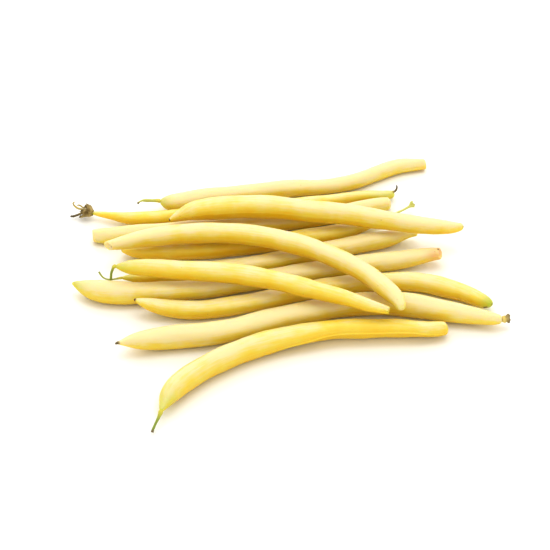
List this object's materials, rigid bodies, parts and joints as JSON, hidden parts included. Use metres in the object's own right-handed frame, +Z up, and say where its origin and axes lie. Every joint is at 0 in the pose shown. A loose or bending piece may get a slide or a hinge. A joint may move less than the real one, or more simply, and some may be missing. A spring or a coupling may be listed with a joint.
{
  "type": "bundle of yellow wax beans",
  "caption": "Loose heap of long curved yellow bean pods lying across one another, some with green stems and dry tips.",
  "frame": {"origin": "on the table, under the middle of the bundle", "axes": "+X along the pods, towards the end where most of them are trimmed; +Z up; the bundle's front faces -Y"},
  "size_m": [0.195, 0.1824, 0.0194],
  "materials": {
    "pod_skin": "satin",
    "stem_green": "matte",
    "dry_husk": "matte"
  },
  "bodies": {
    "root": {"pod_front": "pod_skin", "pod_ivory": "pod_skin", "pod_golden": "pod_skin", "pod_broad": "pod_skin", "pod_tucked": "pod_skin", "pod_shaded": "pod_skin", "pod_trimmed": "pod_skin", "pod_withered": "pod_skin", "pod_back": "pod_skin", "pod_crossing": "pod_skin", "pod_arched": "pod_skin", "pod_top": "pod_skin", "stem_front": "stem_green", "stem_tucked": "stem_green", "stem_shaded": "stem_green", "stem_back": "stem_green", "stem_crossing": "stem_green", "stem_ivory": "dry_husk", "cup_withered": "dry_husk"}
  },
  "joints": []
}
